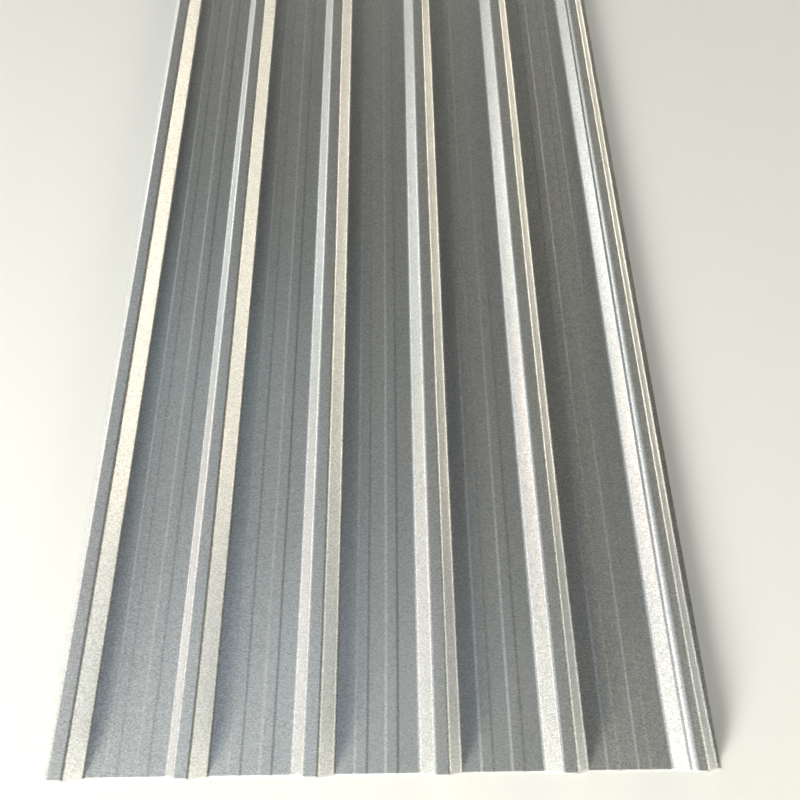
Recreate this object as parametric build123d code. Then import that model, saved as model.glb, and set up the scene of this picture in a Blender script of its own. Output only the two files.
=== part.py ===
from build123d import *
import os
from math import radians, tan

# A roll-formed metal sheet for roofs and walls: six trapezoidal ribs with flat pans
# between them, two shallow swages along each pan, a plain lap edge on the first rib and
# a grooved lap edge with a flat foot on the last one. It is one piece of sheet steel.

# Frame: +Y runs along the sheet and +Z up out of the pans. The undersides of the pans
# are at z = 0. The origin is the middle of the sheet's box, on that plane.

# Driving dimensions, in millimetres and degrees
sheet_length = 2440.0
sheet_thickness = 0.5

rib_count = 6
rib_pitch = 200.0
rib_height = 28.0
rib_crest_width = 24.0
rib_flank_slope = 52.2
rib_bend_radius = 8.0

# Two swages stiffen each pan, side by side about its middle
swage_spacing = 49.2
swage_width = 24.0
swage_height = 1.2
swage_slope_run = 4.4
swage_bend_radius = 5.0

# The first rib laps over the neighbour's last one, and its outer flank stops above the pans
lap_edge_rise = 3.0

# The last rib lies under the neighbour: a drain groove breaks its inner flank, the crest's
# shoulder above the groove stands a little inwards, and the outer flank ends in a flat foot
groove_below_crest = 6.8
groove_width = 3.4
groove_fall = 0.5
groove_bend_radius = 0.9
shoulder_inset = 1.5
shoulder_bend_radius = 7.0
foot_width = 12.0

# Derived sizes. The section is drawn as the middle line of the sheet's thickness.
half_thickness = sheet_thickness / 2
flank_run = rib_height / tan(radians(rib_flank_slope))
half_crest = rib_crest_width / 2
half_base = half_crest + flank_run
pan_level = half_thickness


def flank_point(rib_x, side, rise):
    """The point of a rib's flank at a height above the pans, side -1 left or +1 right."""
    reach = half_base - rise / tan(radians(rib_flank_slope))
    return rib_x + side * reach, pan_level + rise


def plain_rib(rib_x):
    """A rib's four bends from left to right, each a corner and its inner radius."""
    corners = [
        flank_point(rib_x, -1, 0),
        flank_point(rib_x, -1, rib_height),
        flank_point(rib_x, 1, rib_height),
        flank_point(rib_x, 1, 0),
    ]
    return [(corner, rib_bend_radius) for corner in corners]


def lap_over_rib(rib_x):
    """The first rib: its left flank is cut off a little above the pans."""
    free_edge = (flank_point(rib_x, -1, lap_edge_rise), 0)
    return [free_edge] + plain_rib(rib_x)[1:]


def lap_under_rib(rib_x):
    """The last rib: a drain groove in its left flank, and a foot beyond its right one."""
    base, crest_left, crest_right, right_base = plain_rib(rib_x)
    (crest_x, crest_z), _ = crest_left
    shoulder = ((crest_x + shoulder_inset, crest_z), shoulder_bend_radius)
    lip_x, lip_z = flank_point(rib_x, -1, rib_height - groove_below_crest)
    groove = [
        ((lip_x, lip_z), groove_bend_radius),
        ((lip_x + groove_width, lip_z - groove_fall), groove_bend_radius),
    ]
    free_edge = ((rib_x + half_base + foot_width, pan_level), 0)
    return [base] + groove + [shoulder, crest_right, right_base, free_edge]


def pan_swages(pan_x):
    """The bends of the two raised swages in the pan whose middle is at pan_x."""
    foot = swage_width / 2
    top = foot - swage_slope_run
    steps = [(-foot, 0), (-top, swage_height), (top, swage_height), (foot, 0)]
    bends = []
    for side in (-1, 1):
        swage_x = pan_x + side * swage_spacing / 2
        bends += [((swage_x + along, pan_level + rise), swage_bend_radius) for along, rise in steps]
    return bends


def section_bends():
    """Every bend of the section, from the left free edge to the right one."""
    bends = lap_over_rib(0)
    for number in range(1, rib_count):
        rib_x = number * rib_pitch
        bends += pan_swages(rib_x - rib_pitch / 2)
        bends += lap_under_rib(rib_x) if number == rib_count - 1 else plain_rib(rib_x)
    return bends


def cut_edge(middle_line, end):
    """The square cut across the thickness at the start (0) or end (1) of the middle line."""
    across = (middle_line % end).rotate(Axis.Z, 90) * half_thickness
    return Line(middle_line @ end - across, middle_line @ end + across)


def section_face():
    """The cross-section: the rounded middle line, thickened to both sides."""
    bends = section_bends()
    corners = [corner for corner, radius in bends]
    middle_radii = [radius + half_thickness for corner, radius in bends[1:-1]]
    middle_line = FilletPolyline(*corners, radius=middle_radii)
    top = offset(middle_line, amount=half_thickness, side=Side.LEFT, closed=False)
    underside = offset(middle_line, amount=half_thickness, side=Side.RIGHT, closed=False)
    cut_edges = [cut_edge(middle_line, 0), cut_edge(middle_line, 1)]
    return make_face(top.edges() + underside.edges() + cut_edges)


def roofing_sheet():
    """The whole sheet: its section drawn upright, about its own middle, and run along Y."""
    section = section_face()
    section = Pos(-section.bounding_box().center().X, 0) * section
    return extrude(Plane.XZ * section, amount=sheet_length / 2, both=True)


os.makedirs("parts", exist_ok=True)
sheet = roofing_sheet()
export_step(sheet, "parts/roofing_sheet.step")
print("roofing_sheet", sheet.bounding_box(), "volume", round(sheet.volume), "valid", sheet.is_valid)
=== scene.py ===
"""The look of a roll-formed metal roofing sheet, lying flat on a pale floor.

The sheet is modelled again from its section, with rounded bends, square cut edges and
the slight unevenness of thin rolled stock, and is finished as zinc-aluminium coated steel.
All lengths are in metres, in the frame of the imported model.
"""

import logging
from dataclasses import dataclass, field
from enum import Enum, IntEnum
from math import atan2, cos, degrees, exp, pi, radians, sin, tan
from typing import Any

import bmesh
import bpy
from mathutils import Matrix, Vector


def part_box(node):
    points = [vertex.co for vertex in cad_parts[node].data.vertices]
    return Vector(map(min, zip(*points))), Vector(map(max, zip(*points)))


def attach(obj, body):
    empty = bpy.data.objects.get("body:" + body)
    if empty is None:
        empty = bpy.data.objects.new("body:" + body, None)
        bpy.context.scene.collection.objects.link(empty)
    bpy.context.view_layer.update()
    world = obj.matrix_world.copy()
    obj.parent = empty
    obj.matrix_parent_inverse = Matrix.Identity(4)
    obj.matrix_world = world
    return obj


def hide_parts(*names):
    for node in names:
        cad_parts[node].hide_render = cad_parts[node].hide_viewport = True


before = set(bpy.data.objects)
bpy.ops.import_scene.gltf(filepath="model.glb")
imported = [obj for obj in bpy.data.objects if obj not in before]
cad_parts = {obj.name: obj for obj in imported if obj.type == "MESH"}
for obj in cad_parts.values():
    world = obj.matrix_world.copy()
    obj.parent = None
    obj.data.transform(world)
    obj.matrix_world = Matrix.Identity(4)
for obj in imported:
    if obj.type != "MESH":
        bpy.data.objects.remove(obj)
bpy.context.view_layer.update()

MM = 0.001
NODE = "roofing_sheet"

# The digits that places and setbacks are rounded to, so that like bends match.
PLACE_DIGITS = 6
SETBACK_DIGITS = 7

# The middle of a pattern that runs from 0 to 1.
PATTERN_MIDDLE = 0.5

log = logging.getLogger("roofing_sheet")

Colour = tuple[float, float, float]
Point = tuple[float, float, float]


class Axis(Enum):
    """The output of a Separate XYZ node that holds one coordinate."""

    ACROSS = "X"
    ALONG = "Y"


class MixSocket(IntEnum):
    """The numbers of the Mix node's sockets for colours."""

    FACTOR = 0
    FIRST = 6
    SECOND = 7
    RESULT = 2


class Shade:
    """A number socket that Python's operators turn into Math nodes."""

    def __init__(self, board: "NodeBoard", socket: bpy.types.NodeSocket) -> None:
        """Wrap an output socket of a board's node tree."""
        self.board = board
        self.socket = socket

    def _math(self, operation: str, *values: Any) -> "Shade":
        """Add one Math node on numbers or wrapped sockets and return its output."""
        inputs = dict(enumerate(values))
        return self.board.number("ShaderNodeMath", {"operation": operation}, inputs)

    def __add__(self, other: Any) -> "Shade":
        """Return self + other."""
        return self._math("ADD", self, other)

    __radd__ = __add__

    def __sub__(self, other: Any) -> "Shade":
        """Return self - other."""
        return self._math("SUBTRACT", self, other)

    def __rsub__(self, other: Any) -> "Shade":
        """Return other - self."""
        return self._math("SUBTRACT", other, self)

    def __mul__(self, other: Any) -> "Shade":
        """Return self * other."""
        return self._math("MULTIPLY", self, other)

    __rmul__ = __mul__

    def __pow__(self, other: Any) -> "Shade":
        """Return self to the power of other."""
        return self._math("POWER", self, other)

    def __abs__(self) -> "Shade":
        """Return the absolute value."""
        return self._math("ABSOLUTE", self)

    def between(self, low: float, high: float) -> "Shade":
        """Return a smooth step from 0 at low to 1 at high.

        Args:
            low: The value at which the step starts.
            high: The value at which the step ends.

        Returns:
            The step, wrapped.
        """
        settings = {"interpolation_type": "SMOOTHSTEP", "clamp": True}
        inputs = {"Value": self, "From Min": low, "From Max": high}
        return self.board.number("ShaderNodeMapRange", settings, inputs)


class NodeBoard:
    """A node tree that nodes are added to by type, settings and sockets."""

    def __init__(self, tree: bpy.types.NodeTree) -> None:
        """Clear a material's or the world's node tree and keep it."""
        self.tree = tree
        self.tree.nodes.clear()

    def add(self, kind: str, settings: dict[str, Any] | None = None,
            inputs: dict[Any, Any] | None = None) -> bpy.types.Node:
        """Add one node.

        Args:
            kind: The node's type.
            settings: Its properties, set before its sockets.
            inputs: Values or links for its input sockets, by name or number.

        Returns:
            The new node.
        """
        node = self.tree.nodes.new(kind)
        for name, value in (settings or {}).items():
            setattr(node, name, value)
        for key, value in (inputs or {}).items():
            source = value.socket if isinstance(value, Shade) else value
            if isinstance(source, bpy.types.NodeSocket):
                self.tree.links.new(source, node.inputs[key])
            else:
                node.inputs[key].default_value = source
        return node

    def number(self, kind: str, settings: dict[str, Any] | None = None,
               inputs: dict[Any, Any] | None = None, output: Any = 0) -> Shade:
        """Add one node and return one of its outputs, by name or number, wrapped."""
        return Shade(self, self.add(kind, settings, inputs).outputs[output])

    def coordinates(self) -> bpy.types.NodeSocket:
        """Return the object coordinates."""
        return self.add("ShaderNodeTexCoord").outputs["Object"]

    def coordinate(self, axis: Axis) -> Shade:
        """Return one object coordinate, in metres, wrapped."""
        return self.number("ShaderNodeSeparateXYZ", None, {0: self.coordinates()}, axis.value)

    def ray(self, kind: str) -> Shade:
        """Return 1 for a ray of the kind that Light Path names so and 0 for others."""
        return self.number("ShaderNodeLightPath", None, None, kind)

    def stretched(self, scale: Point) -> bpy.types.NodeSocket:
        """Return the object coordinates scaled along X, Y and Z."""
        inputs = {"Vector": self.coordinates(), "Scale": scale}
        return self.add("ShaderNodeMapping", {"vector_type": "POINT"}, inputs).outputs[0]

    def blend(self, factor: Any, first: Any, second: Any) -> bpy.types.NodeSocket:
        """Mix two colours.

        Args:
            factor: How much of the second colour, as a number or a wrapped socket.
            first: The first colour, or its socket.
            second: The second colour, or its socket.

        Returns:
            The mixed colour's socket.
        """
        inputs = {MixSocket.FACTOR: factor, MixSocket.FIRST: first, MixSocket.SECOND: second}
        node = self.add("ShaderNodeMix", {"data_type": "RGBA"}, inputs)
        return node.outputs[MixSocket.RESULT]


@dataclass(frozen=True)
class Bend:
    """One bend of the sheet's section.

    Attributes:
        x: The corner's place across the sheet.
        z: The corner's height, on the middle of the thickness.
        radius: The bend's radius to the middle of the thickness, 0 at a free edge.
    """

    x: float
    z: float
    radius: float


@dataclass(frozen=True)
class SheetSection:
    """The section's sizes, as rolled, and the bends that they make.

    The swages stand half as high as in the solid, and the drain groove is a softer step
    under a rounder shoulder, because light shows them that faintly on the real sheet.

    Attributes:
        thickness: The steel's thickness.
        rib_count: The number of ribs.
        rib_pitch: The distance from rib to rib.
        rib_height: The ribs' height above the pans.
        crest_width: The width of a rib's top, from corner to corner.
        flank_slope: The flanks' slope from level.
        rib_bend: The inner radius of the ribs' bends.
        swage_spacing: The distance between the middles of a pan's two swages.
        swage_width: A swage's width at the pan.
        swage_height: A swage's height.
        swage_slope_run: The width of each sloping side of a swage.
        swage_bend: The inner radius of the swages' bends.
        lap_edge_rise: How high above the pans the left free edge stops.
        groove_below_crest: How far below the crest the groove starts.
        groove_width: The groove's width.
        groove_rise: How much the groove's floor rises across that width.
        groove_bend: The inner radius of the groove's bends.
        shoulder_inset: How far the shoulder's corner lies inside the crest's.
        shoulder_bend: The inner radius of the shoulder's bend.
        foot_width: The width of the flat foot at the right edge.
    """

    thickness: float = 0.5 * MM
    rib_count: int = 6
    rib_pitch: float = 200 * MM
    rib_height: float = 28 * MM
    crest_width: float = 24 * MM
    flank_slope: float = radians(52.2)
    rib_bend: float = 8 * MM
    swage_spacing: float = 49.2 * MM
    swage_width: float = 24 * MM
    swage_height: float = 0.6 * MM
    swage_slope_run: float = 4.4 * MM
    swage_bend: float = 5 * MM
    lap_edge_rise: float = 3 * MM
    groove_below_crest: float = 6.8 * MM
    groove_width: float = 4.0 * MM
    groove_rise: float = 1.5 * MM
    groove_bend: float = 0.9 * MM
    shoulder_inset: float = 4.5 * MM
    shoulder_bend: float = 11 * MM
    foot_width: float = 12 * MM

    @property
    def half_thickness(self) -> float:
        """Half of the sheet's thickness."""
        return self.thickness / 2

    @property
    def half_base(self) -> float:
        """Half of a rib's width at the pans."""
        return self.crest_width / 2 + self.rib_height / tan(self.flank_slope)

    @property
    def first_rib_x(self) -> float:
        """Find where the first rib stands when the section's box lies evenly about x = 0.

        Returns:
            The first rib's middle.
        """
        free_edge = self.lap_edge_rise / tan(self.flank_slope)
        cut_corner = self.half_thickness * sin(self.flank_slope)
        left = -self.half_base + free_edge - cut_corner
        right = (self.rib_count - 1) * self.rib_pitch + self.half_base + self.foot_width
        return -(left + right) / 2

    @property
    def last_rib_x(self) -> float:
        """The middle of the last rib."""
        return self.first_rib_x + (self.rib_count - 1) * self.rib_pitch

    def rib_bends(self, x: float, left_rise: float = 0.0) -> list[Bend]:
        """Return the four bends of a rib, the first of them raised for a free edge.

        Args:
            x: The rib's middle.
            left_rise: The height above the pans at which the left flank starts.

        Returns:
            The bends from left to right.
        """
        pan = self.half_thickness
        crest = pan + self.rib_height
        radius = self.rib_bend + self.half_thickness
        start = self.half_base - left_rise / tan(self.flank_slope)
        first_radius = 0.0 if left_rise else radius
        return [
            Bend(x - start, pan + left_rise, first_radius),
            Bend(x - self.crest_width / 2, crest, radius),
            Bend(x + self.crest_width / 2, crest, radius),
            Bend(x + self.half_base, pan, radius),
        ]

    def groove_bends(self, x: float) -> list[Bend]:
        """Return the bends of a rib's drain groove and of the shoulder above it.

        Args:
            x: The rib's middle.

        Returns:
            The groove's two bends, the lower one first, and the shoulder's.
        """
        radius = self.groove_bend + self.half_thickness
        rise = self.rib_height - self.groove_below_crest
        lip = x - self.half_base + rise / tan(self.flank_slope)
        height = self.half_thickness + rise
        floor = Bend(lip + self.groove_width, height + self.groove_rise, radius)
        corner = x - self.crest_width / 2 + self.shoulder_inset
        shoulder_radius = self.shoulder_bend + self.half_thickness
        shoulder = Bend(corner, self.half_thickness + self.rib_height, shoulder_radius)
        return [Bend(lip, height, radius), floor, shoulder]

    def swage_bends(self, pan_x: float) -> list[Bend]:
        """Return the bends of the two raised swages of a pan.

        Args:
            pan_x: The pan's middle.

        Returns:
            The bends from left to right.
        """
        low = self.half_thickness
        high = low + self.swage_height
        foot = self.swage_width / 2
        top = foot - self.swage_slope_run
        radius = self.swage_bend + self.half_thickness
        steps = ((-foot, low), (-top, high), (top, high), (foot, low))
        middles = (pan_x - self.swage_spacing / 2, pan_x + self.swage_spacing / 2)
        return [Bend(middle + along, z, radius) for middle in middles for along, z in steps]

    def bends(self) -> list[Bend]:
        """Run through every bend, from the left free edge to the right one.

        Returns:
            The bends, with the groove and its shoulder in place of the last rib's
            second bend.
        """
        found = self.rib_bends(self.first_rib_x, self.lap_edge_rise)
        for number in range(1, self.rib_count):
            rib_x = self.first_rib_x + number * self.rib_pitch
            found += self.swage_bends(rib_x - self.rib_pitch / 2)
            found += self.rib_bends(rib_x)
        found[-3:-2] = self.groove_bends(self.last_rib_x)
        edge = self.last_rib_x + self.half_base + self.foot_width
        return found + [Bend(edge, self.half_thickness, 0.0)]


def setback(before: Bend, bend: Bend, after: Bend) -> float:
    """Return how far from its corner a bend's arc starts.

    Args:
        before: The bend on its left.
        bend: The bend.
        after: The bend on its right.

    Returns:
        The distance along either run, rounded so that like bends match.
    """
    towards = atan2(bend.z - before.z, bend.x - before.x)
    away = atan2(after.z - bend.z, after.x - bend.x)
    return round(bend.radius * tan(abs(away - towards) / 2), SETBACK_DIGITS)


def rounded(x: float, z: float) -> tuple[float, float]:
    """Return a place on the section, rounded so that like places match."""
    return round(x, PLACE_DIGITS), round(z, PLACE_DIGITS)


@dataclass(frozen=True)
class Drift:
    """How far one rib, and the swages of the pan on its right, stand off their drawn line.

    Attributes:
        shift: The steady part, towards the right.
        bow: How far the line bows, to the left near the front and to the right further on.
        swing: How far the front end swings to the right.
        bends: What each of the rib's four bends adds, from left to right.
        bow_length: The length of one bow, as a share of half the sheet.
        swing_reach: How far the swing is felt, as a share of half the sheet.
    """

    shift: float
    bow: float = 0.0
    swing: float = 0.0
    bends: tuple[float, float, float, float] = (0.0, 0.0, 0.0, 0.0)
    bow_length: float = 0.8
    swing_reach: float = 0.12

    def at(self, along: float) -> float:
        """Return the offset to the right at a place from -1, the front end, to 1, the far one."""
        end = exp(-(along + 1) / self.swing_reach)
        return self.shift + self.bow * sin(pi * along / self.bow_length) + self.swing * end


@dataclass
class RoofingSheet:
    """The sheet as one smooth mesh that stands for its CAD node.

    Attributes:
        section: The sheet's section.
        length: The sheet's length.
        drifts: How each rib stands off its drawn line.
        edge_flare: How far the right edge flares out at the front corner.
        flare_reach: How far the flare is felt, as a share of half the sheet.
        arc_segments: The number of flats in each bend.
        length_divisions: The number of strips along the sheet.
        end_band: How far from each end the extra cut lies.
        inset: How much shorter the sheet is than the solid, to stay inside it.
        fold_slack: How far an edge along the sheet may stray across it.
        sharp_angle: The angle from which an edge is drawn sharp.
        mesh: The mesh that the sheet is modelled in.
    """

    section: SheetSection
    length: float
    drifts: tuple[Drift, ...] = (
        Drift(4.8 * MM, -0.9 * MM, -1.0 * MM, (0.0, -1.0 * MM, 0.0, 0.0)),
        Drift(0.0, -0.8 * MM, -1.5 * MM, (3.5 * MM, -1.0 * MM, -1.0 * MM, -0.5 * MM)),
        Drift(0.0, -0.7 * MM, -1.5 * MM, (0.8 * MM, -2.3 * MM, -1.0 * MM, -1.5 * MM)),
        Drift(-0.7 * MM, 0.5 * MM, 0.0, (2.7 * MM, 1.6 * MM, 2.3 * MM, -1.1 * MM)),
        Drift(-1.3 * MM, 1.3 * MM, 0.5 * MM, (0.8 * MM, 0.7 * MM, 2.0 * MM, -1.1 * MM)),
        Drift(1.1 * MM, 0.0, 4.0 * MM, (-1.0 * MM, 0.6 * MM, -1.3 * MM, -3.3 * MM)),
    )
    edge_flare: float = 3.0 * MM
    flare_reach: float = 0.35
    arc_segments: int = 6
    length_divisions: int = 96
    end_band: float = 2.5 * MM
    inset: float = 0.1 * MM
    fold_slack: float = 0.025 * MM
    sharp_angle: float = radians(40)
    mesh: bmesh.types.BMesh = field(default_factory=bmesh.new)

    def build(self, finish: bpy.types.Material) -> bpy.types.Object:
        """Model the sheet and dress it.

        Args:
            finish: The sheet's material.

        Returns:
            The finished object.
        """
        self.fold_flat_strips()
        self.round_bends()
        self.divide_length()
        self.settle()
        piece = self.thicken(finish)
        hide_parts(NODE)
        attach(piece, "root")
        return piece

    def fold_flat_strips(self) -> None:
        """Draw the section's corners as a run of edges and extrude it along the sheet."""
        front = -self.length / 2
        corners = [self.mesh.verts.new((bend.x, front, bend.z)) for bend in self.section.bends()]
        run = [self.mesh.edges.new(pair) for pair in zip(corners, corners[1:])]
        grown = bmesh.ops.extrude_edge_only(self.mesh, edges=run)["geom"]
        far = [item for item in grown if isinstance(item, bmesh.types.BMVert)]
        bmesh.ops.translate(self.mesh, verts=far, vec=(0, self.length, 0))
        bmesh.ops.recalc_face_normals(self.mesh, faces=self.mesh.faces[:])
        if sum(face.normal.z for face in self.mesh.faces) < 0:
            bmesh.ops.reverse_faces(self.mesh, faces=self.mesh.faces[:])

    def lengthwise(self) -> list[bmesh.types.BMEdge]:
        """Pick the edges that run along the sheet.

        Returns:
            The edges, in the mesh's own order.
        """
        edges = []
        for edge in self.mesh.edges:
            first, second = edge.verts
            across = abs(first.co.x - second.co.x) + abs(first.co.z - second.co.z)
            if across < self.fold_slack:
                edges.append(edge)
        return edges

    def round_bends(self) -> None:
        """Bevel the fold lines into arcs, like bends together."""
        bends = self.section.bends()
        groups: dict[float, list[Bend]] = {}
        for before, bend, after in zip(bends, bends[1:], bends[2:]):
            groups.setdefault(setback(before, bend, after), []).append(bend)
        for reach, members in groups.items():
            places = {rounded(bend.x, bend.z) for bend in members}
            folds = [edge for edge in self.lengthwise()
                     if rounded(edge.verts[0].co.x, edge.verts[0].co.z) in places]
            bmesh.ops.bevel(self.mesh, geom=folds, offset=reach, offset_type="OFFSET",
                            segments=self.arc_segments, profile=0.5, affect="EDGES",
                            clamp_overlap=False, material=-1)

    def divide_length(self) -> None:
        """Cut the strips across, evenly along the sheet and once close to each end."""
        bmesh.ops.subdivide_edges(self.mesh, edges=self.lengthwise(),
                                  cuts=self.length_divisions - 1, use_grid_fill=True)
        for side in (-1, 1):
            geometry = self.mesh.verts[:] + self.mesh.edges[:] + self.mesh.faces[:]
            place = (0, side * (self.length / 2 - self.end_band), 0)
            bmesh.ops.bisect_plane(self.mesh, geom=geometry, plane_co=place, plane_no=(0, 1, 0))

    def drift(self, x: float, along: float) -> float:
        """Return how far the sheet stands off its drawn line.

        Args:
            x: The drawn place across the sheet.
            along: The place along it, from -1 to 1.

        Returns:
            The offset to the right in metres.
        """
        pitch = (x - self.section.first_rib_x) / self.section.rib_pitch
        number = min(max(int(pitch), 0), len(self.drifts) - 2)
        swages = self.section.swage_spacing + self.section.swage_width
        swage_end = (self.section.rib_pitch + swages) / 2
        next_base = self.section.rib_pitch - self.section.half_base
        reach = (pitch - number) * self.section.rib_pitch
        share = min(max((reach - swage_end) / (next_base - swage_end), 0.0), 1.0)
        own, following = self.drifts[number], self.drifts[number + 1]
        steady = own.at(along) * (1 - share) + following.at(along) * share
        outward = (x - self.section.last_rib_x) / self.section.half_base
        flare = self.edge_flare * exp(-(along + 1) / self.flare_reach)
        return steady + self.bend_drift(x) + flare * min(max(outward, 0.0), 1.0)

    def bend_drift(self, x: float) -> float:
        """Return what the bends of the nearest rib add to the drift.

        Args:
            x: The drawn place across the sheet.

        Returns:
            The offset to the right in metres, none at the swages.
        """
        pitch = (x - self.section.first_rib_x) / self.section.rib_pitch
        number = min(max(round(pitch), 0), len(self.drifts) - 1)
        reach = (pitch - number) * self.section.rib_pitch
        base, crest = self.section.half_base, self.section.crest_width / 2
        swages = self.section.swage_spacing + self.section.swage_width
        quiet = (self.section.rib_pitch - swages) / 2
        left, crest_left, crest_right, right = self.drifts[number].bends
        past = right if number == len(self.drifts) - 1 else 0.0
        places = (-quiet, -base, -crest, crest, base, quiet)
        values = (0.0, left, crest_left, crest_right, right, past)
        for (start, first), (end, last) in zip(zip(places, values), zip(places[1:], values[1:])):
            if reach <= end:
                share = max((reach - start) / (end - start), 0.0)
                return first * (1 - share) + last * share
        return past

    def settle(self) -> None:
        """Move each line across as rolling and handling left it, inside the drawn width."""
        edge = self.section.last_rib_x + self.section.half_base + self.section.foot_width
        inside = 1 - self.inset / self.length
        for corner in self.mesh.verts:
            offset = self.drift(corner.co.x, 2 * corner.co.y / self.length)
            corner.co.x = min(corner.co.x + offset, edge)
            corner.co.y *= inside

    def thicken(self, finish: bpy.types.Material) -> bpy.types.Object:
        """Give the middle surface its thickness and make the object.

        Args:
            finish: The sheet's material.

        Returns:
            The sheet's object, at the origin.
        """
        draft = bpy.data.meshes.new("roofing_sheet_draft")
        self.mesh.to_mesh(draft)
        self.mesh.free()
        piece = bpy.data.objects.new("roofing_sheet_skin", draft)
        bpy.context.scene.collection.objects.link(piece)
        solid = piece.modifiers.new("thickness", "SOLIDIFY")
        solid.thickness = self.section.thickness
        solid.offset = 0.0
        solid.use_even_offset = True
        view = bpy.context.evaluated_depsgraph_get()
        solid_mesh = bpy.data.meshes.new_from_object(piece.evaluated_get(view))
        solid_mesh.name = "roofing_sheet_skin"
        piece.modifiers.remove(solid)
        piece.data = solid_mesh
        bpy.data.meshes.remove(draft)
        solid_mesh.shade_smooth()
        solid_mesh.set_sharp_from_angle(angle=self.sharp_angle)
        flat_sides = piece.modifiers.new("flat_sides", "WEIGHTED_NORMAL")
        flat_sides.keep_sharp = True
        solid_mesh.materials.clear()
        solid_mesh.materials.append(finish)
        return piece


@dataclass(frozen=True)
class CoatedSteel:
    """Zinc-aluminium coated steel, with a spangle, faint rolling streaks and painted end
    highlights.

    Attributes:
        half_length: Half of the sheet's length.
        pale: The colour of the brightest spangles.
        dark: The colour of the darkest spangles.
        painted_end_highlight: The painted highlight's colour, for light caught by the cut ends.
        metallic: How metallic the coat is.
        end_highlight_metallic: How metallic the painted highlight at the cut ends is.
        roughness: The coat's middle roughness.
        roughness_swing: How much the spangles differ in roughness, from least to most.
        streak_swing: How much the streaks change the roughness, either way.
        streak_width: The streaks' width.
        streak_pace: The streaks' changes per metre along the sheet.
        streak_detail: How many finer layers the streaks have.
        spangle_width: A spangle's width across the sheet.
        spangle_length: A spangle's length along the sheet.
        spangle_tilt: How far the spangles lean, as the slope of their facets.
        end_band: The width of the painted highlight at each cut end.
        end_fade: The share of that band that is fully bright, past its soft start.
    """

    half_length: float
    pale: Colour = (0.79, 0.795, 0.79)
    dark: Colour = (0.42, 0.43, 0.435)
    painted_end_highlight: Colour = (0.93, 0.93, 0.92)
    metallic: float = 0.8
    end_highlight_metallic: float = 0.15
    roughness: float = 0.40
    roughness_swing: float = 0.13
    streak_swing: float = 0.03
    streak_width: float = 5 * MM
    streak_pace: float = 0.6
    streak_detail: float = 2.0
    spangle_width: float = 2.0 * MM
    spangle_length: float = 1.2 * MM
    spangle_tilt: float = 0.05
    end_band: float = 2.2 * MM
    end_fade: float = 0.8

    def material(self) -> bpy.types.Material:
        """Build the finish.

        Returns:
            The node material.
        """
        made = bpy.data.materials.new("zinc_aluminium_coat")
        made.use_nodes = True
        board = NodeBoard(made.node_tree)
        scale = (1 / self.spangle_width, 1 / self.spangle_length, 1 / self.spangle_width)
        grain = board.add("ShaderNodeTexVoronoi", {"feature": "F1"},
                          {"Vector": board.stretched(scale), "Scale": 1.0})
        parts = {"Color": grain.outputs["Color"]}
        shine = board.number("ShaderNodeSeparateColor", None, parts, "Red")
        haze = board.number("ShaderNodeSeparateColor", None, parts, "Green")
        streak_scale = (1 / self.streak_width, self.streak_pace, 1.0)
        streak = board.number("ShaderNodeTexNoise", {"noise_dimensions": "3D"},
                              {"Vector": board.stretched(streak_scale),
                               "Scale": 1.0, "Detail": self.streak_detail})
        # Painted highlight: a pale, less metallic band along each cut end stands in for light
        # caught by the cut edge.
        painted_end_highlight = abs(board.coordinate(Axis.ALONG)).between(
            self.half_length - self.end_band,
            self.half_length - self.end_band * self.end_fade)
        colour = board.blend(shine, (*self.dark, 1), (*self.pale, 1))
        colour = board.blend(painted_end_highlight, colour, (*self.painted_end_highlight, 1))
        metallic = self.metallic + painted_end_highlight * (self.end_highlight_metallic - self.metallic)
        rough = self.roughness + (haze - PATTERN_MIDDLE) * self.roughness_swing
        rough = rough + (streak - PATTERN_MIDDLE) * (2 * self.streak_swing)
        level = (PATTERN_MIDDLE, PATTERN_MIDDLE, PATTERN_MIDDLE)
        tilt = board.add("ShaderNodeVectorMath", {"operation": "SUBTRACT"},
                         {0: grain.outputs["Color"], 1: level})
        tilt = board.add("ShaderNodeVectorMath", {"operation": "SCALE"},
                         {0: tilt.outputs[0], "Scale": 2 * self.spangle_tilt})
        upright = board.add("ShaderNodeNewGeometry").outputs["Normal"]
        leaned = board.add("ShaderNodeVectorMath", {"operation": "ADD"},
                           {0: upright, 1: tilt.outputs[0]})
        facet = board.add("ShaderNodeVectorMath", {"operation": "NORMALIZE"},
                          {0: leaned.outputs[0]})
        shader = board.add("ShaderNodeBsdfPrincipled", None,
                           {"Base Color": colour, "Metallic": metallic, "Roughness": rough,
                            "Normal": facet.outputs[0]})
        board.add("ShaderNodeOutputMaterial", None, {"Surface": shader.outputs[0]})
        return made


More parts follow.
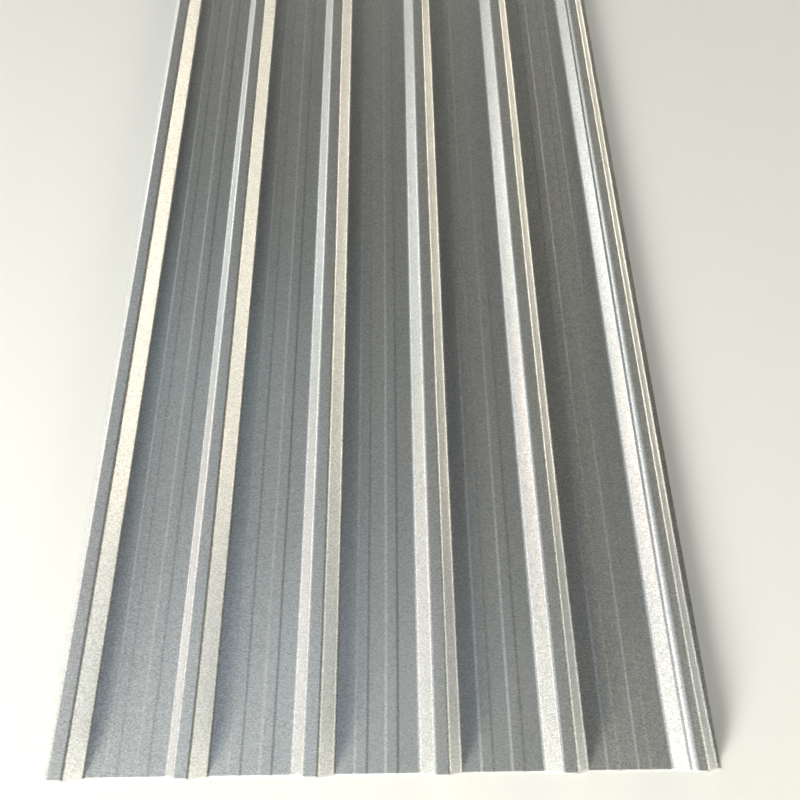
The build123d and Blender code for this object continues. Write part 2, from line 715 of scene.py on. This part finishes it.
@dataclass(frozen=True)
class PaleBackdrop:
    """A plain pale floor that curves up into a low wall all round, far from the sheet.

    Attributes:
        radius: The wall's distance from the middle.
        wall_height: The wall's height.
        sweep: The radius of the curve between floor and wall.
        sweep_steps: The number of flats in that curve.
        drop: How far below the sheet the floor lies.
        colour: The paint's colour.
        roughness: The paint's roughness.
        wall_glow: How bright the far floor and the wall show to the camera.
        glow_starts: The distance from the middle at which they begin to show so.
        glow_ends: The distance at which they fully do.
        sides: The number of sides of the round floor.
    """

    radius: float = 10.0
    wall_height: float = 5.0
    sweep: float = 1.5
    sweep_steps: int = 8
    drop: float = 0.3 * MM
    colour: Colour = (0.78, 0.78, 0.775)
    roughness: float = 0.9
    wall_glow: float = 0.74
    glow_starts: float = 2.6
    glow_ends: float = 6.5
    sides: int = 96

    def build(self) -> bpy.types.Object:
        """Make the floor and its wall.

        Returns:
            The backdrop's object.
        """
        shape = bmesh.new()
        grown = bmesh.ops.create_circle(shape, cap_ends=True, segments=self.sides,
                                        radius=self.radius - self.sweep)
        rim = list({edge for corner in grown["verts"] for edge in corner.link_edges})
        for step in range(1, self.sweep_steps + 1):
            lean = step / self.sweep_steps * pi / 2
            rim = self.grow(shape, rim, self.sweep * (1 - cos(lean)),
                            self.radius - self.sweep * (1 - sin(lean)))
        self.grow(shape, rim, self.wall_height, self.radius)
        bmesh.ops.translate(shape, verts=shape.verts[:], vec=(0, 0, -self.drop))
        bmesh.ops.recalc_face_normals(shape, faces=shape.faces[:])
        if sum(face.normal.z for face in shape.faces) < 0:
            bmesh.ops.reverse_faces(shape, faces=shape.faces[:])
        mesh = bpy.data.meshes.new("pale_backdrop")
        shape.to_mesh(mesh)
        shape.free()
        mesh.shade_smooth()
        mesh.materials.append(self.material())
        backdrop = bpy.data.objects.new("pale_backdrop", mesh)
        bpy.context.scene.collection.objects.link(backdrop)
        return backdrop

    def grow(self, shape: bmesh.types.BMesh, rim: list[bmesh.types.BMEdge], height: float,
             radius: float) -> list[bmesh.types.BMEdge]:
        """Extrude the rim to a height and a radius.

        Args:
            shape: The backdrop's mesh.
            rim: The edges of its present rim.
            height: The new rim's height.
            radius: The new rim's radius.

        Returns:
            The new rim's edges.
        """
        grown = bmesh.ops.extrude_edge_only(shape, edges=rim)["geom"]
        for corner in grown:
            if isinstance(corner, bmesh.types.BMVert):
                flat = Vector((corner.co.x, corner.co.y, 0)).normalized() * radius
                corner.co = (flat.x, flat.y, height)
        return [item for item in grown if isinstance(item, bmesh.types.BMEdge)]

    def material(self) -> bpy.types.Material:
        """Build its finish, a matt pale paint that shows an even tone far out.

        Returns:
            The node material.
        """
        made = bpy.data.materials.new("pale_backdrop")
        made.use_nodes = True
        board = NodeBoard(made.node_tree)
        across = board.coordinate(Axis.ACROSS)
        along = board.coordinate(Axis.ALONG)
        reach = (across * across + along * along) ** 0.5
        seen = board.ray("Is Camera Ray")
        paint = board.add("ShaderNodeBsdfPrincipled", None,
                          {"Base Color": (*self.colour, 1), "Roughness": self.roughness})
        glow = board.add("ShaderNodeEmission", None,
                         {"Color": (*self.colour, 1), "Strength": self.wall_glow / self.colour[0]})
        share = seen * reach.between(self.glow_starts, self.glow_ends)
        mix = board.add("ShaderNodeMixShader", None,
                        {0: share, 1: paint.outputs[0], 2: glow.outputs[0]})
        board.add("ShaderNodeOutputMaterial", None, {"Surface": mix.outputs[0]})
        return made


@dataclass(frozen=True)
class SoftBox:
    """A square soft box.

    Attributes:
        name: The lamp's name.
        place: The middle of its front.
        size: Its width and height.
        glow: How bright its front is, in red, green and blue.
        aim: The point that it faces.
    """

    name: str
    place: Point
    size: float
    glow: Colour
    aim: Point = (0.0, 0.0, 0.0)

    @classmethod
    def on_dome(cls, name: str, azimuth: float, elevation: float, size: float,
                glow: Colour, distance: float = 6.0) -> "SoftBox":
        """Return a soft box on a dome about the sheet's middle.

        Args:
            name: The lamp's name.
            azimuth: Its bearing in degrees, clockwise from the sheet's far end.
            elevation: Its height above the floor in degrees.
            size: Its width and height.
            glow: How bright its front is.
            distance: The dome's radius.

        Returns:
            The soft box.
        """
        turn, rise = radians(azimuth), radians(elevation)
        heading = Vector((sin(turn) * cos(rise), cos(turn) * cos(rise), sin(rise)))
        return cls(name, tuple(heading * distance), size, glow)

    def build(self) -> bpy.types.Object:
        """Hang the lamp, with the power that gives its front its glow.

        Returns:
            The lamp's object.
        """
        strongest = max(self.glow)
        lamp = bpy.data.lights.new(self.name, "AREA")
        lamp.shape = "SQUARE"
        lamp.size = self.size
        lamp.energy = strongest * pi * self.size ** 2
        lamp.color = [part / strongest for part in self.glow]
        place = Vector(self.place)
        facing = (place - Vector(self.aim)).to_track_quat("Z", "Y").to_matrix().to_4x4()
        item = bpy.data.objects.new(self.name, lamp)
        item.matrix_world = Matrix.Translation(place) @ facing
        item.visible_camera = False
        bpy.context.scene.collection.objects.link(item)
        return item


@dataclass(frozen=True)
class PhotoCamera:
    """A camera that stands where the photograph's stood.

    Attributes:
        place: The camera's place.
        turn_left: How far it is turned to the left.
        look_down: How far below level it looks.
        roll: How far it is rolled to the left.
        half_frame: Half of the square picture's side, in picture points.
        focal_length: The lens's focal length, in picture points.
    """

    place: Point = (23.8 * MM, -1088.2 * MM, 1199.6 * MM)
    turn_left: float = radians(-1.447)
    look_down: float = radians(66.897)
    roll: float = radians(0.788)
    half_frame: float = 400
    focal_length: float = 665.2

    def build(self) -> bpy.types.Object:
        """Set up the camera and make it the scene's own.

        Returns:
            The camera's object.
        """
        data = bpy.data.cameras.new("photo_camera")
        data.angle = 2 * atan2(self.half_frame, self.focal_length)
        item = bpy.data.objects.new("photo_camera", data)
        aim = Matrix.Rotation(self.turn_left, 4, "Z")
        tilt = Matrix.Rotation(pi / 2 - self.look_down, 4, "X")
        spin = Matrix.Rotation(self.roll, 4, "Z")
        item.matrix_world = Matrix.Translation(Vector(self.place)) @ aim @ tilt @ spin
        bpy.context.scene.collection.objects.link(item)
        bpy.context.scene.camera = item
        return item


@dataclass(frozen=True)
class Studio:
    """A dark ceiling and a ring of soft boxes.

    Two strong low keys stand at the front left. The other low boxes are mostly warm, and
    those high on the left and overhead are mostly cool.

    Attributes:
        sky: The ceiling's colour.
        small: The size of most of the lowest boxes.
        medium: The size of the boxes above them.
        large: The size of the high boxes at the sides.
        wide: The size of the wide low box at the far left.
        canopy: The size of the big box overhead.
        overhead_place: The place of the small box overhead on the left.
        overhead_size: Its size.
        overhead_aim: The point that it faces.
    """

    sky: Colour = (0.0, 0.0, 0.0)
    small: float = 1.2
    medium: float = 1.3
    large: float = 2.6
    wide: float = 2.55
    canopy: float = 3.2
    overhead_place: Point = (-1.0, 0.6, 3.0)
    overhead_size: float = 0.9
    overhead_aim: Point = (0.0, -0.4, 0.0)

    def lamps(self) -> list[SoftBox]:
        """Place the soft boxes, each by its bearing, height angle, size and glow.

        Returns:
            The soft boxes, not yet hung.
        """
        low, mid, high, steep = 7, 15, 30, 69
        dome = SoftBox.on_dome
        return [
            dome("key_front_left", 216, mid, self.medium, (78.6, 77.4, 67.4)),
            dome("key_front_low", 204, low, self.small, (153, 150, 131)),
            dome("left_high", 265, high, self.large, (2.16, 2.03, 2.25)),
            dome("left_low", 282, low, self.small, (7.92, 6.03, 4.99)),
            dome("left_far_high", 300, high, self.large, (1.04, 1.34, 1.49)),
            dome("left_back_low", 304, low, self.small, (3.90, 3.98, 3.63)),
            dome("left_far_low", 312, low, self.wide, (1.55, 1.46, 1.45)),
            dome("right_far_high", 40, mid, self.medium, (7.76, 6.74, 5.23)),
            dome("right_back", 60, mid, self.medium, (9.09, 8.44, 6.70)),
            dome("right_side", 80, mid, self.medium, (8.92, 7.97, 6.55)),
            dome("right_low", 100, mid, self.medium, (1.85, 2.22, 2.56)),
            dome("right_high", 120, high, self.large, (2.00, 1.95, 1.60)),
            dome("right_front_low", 124, low, self.small, (13.5, 12.6, 10.8)),
            dome("overhead_front", 216, steep, self.canopy, (0.66, 0.77, 0.89)),
            SoftBox("overhead_left", self.overhead_place, self.overhead_size,
                    (0.51, 0.66, 0.73), self.overhead_aim),
        ]

    def build(self) -> int:
        """Set the world and hang the lamps.

        Returns:
            The number of lamps.
        """
        world = bpy.data.worlds.new("studio")
        bpy.context.scene.world = world
        world.use_nodes = True
        board = NodeBoard(world.node_tree)
        ceiling = board.add("ShaderNodeBackground", None,
                            {"Color": (*self.sky, 1), "Strength": 1.0})
        board.add("ShaderNodeOutputWorld", None, {"Surface": ceiling.outputs[0]})
        lamps = [box.build() for box in self.lamps()]
        return len(lamps)


def main() -> None:
    """Build the sheet, the floor, the light and the camera."""
    logging.basicConfig(level=logging.INFO, format="%(name)s: %(message)s")
    bpy.context.scene.view_settings.view_transform = "Standard"
    low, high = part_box(NODE)
    sheet = RoofingSheet(SheetSection(), length=high.y - low.y)
    piece = sheet.build(CoatedSteel(sheet.length / 2).material())
    log.info("%s has %d faces", piece.name, len(piece.data.polygons))
    backdrop = PaleBackdrop().build()
    log.info("%s has %d faces", backdrop.name, len(backdrop.data.polygons))
    log.info("the studio has %d lamps", Studio().build())
    camera = PhotoCamera().build()
    log.info("%s sees %.1f degrees", camera.name, degrees(camera.data.angle))


if __name__ == "__main__":
    main()
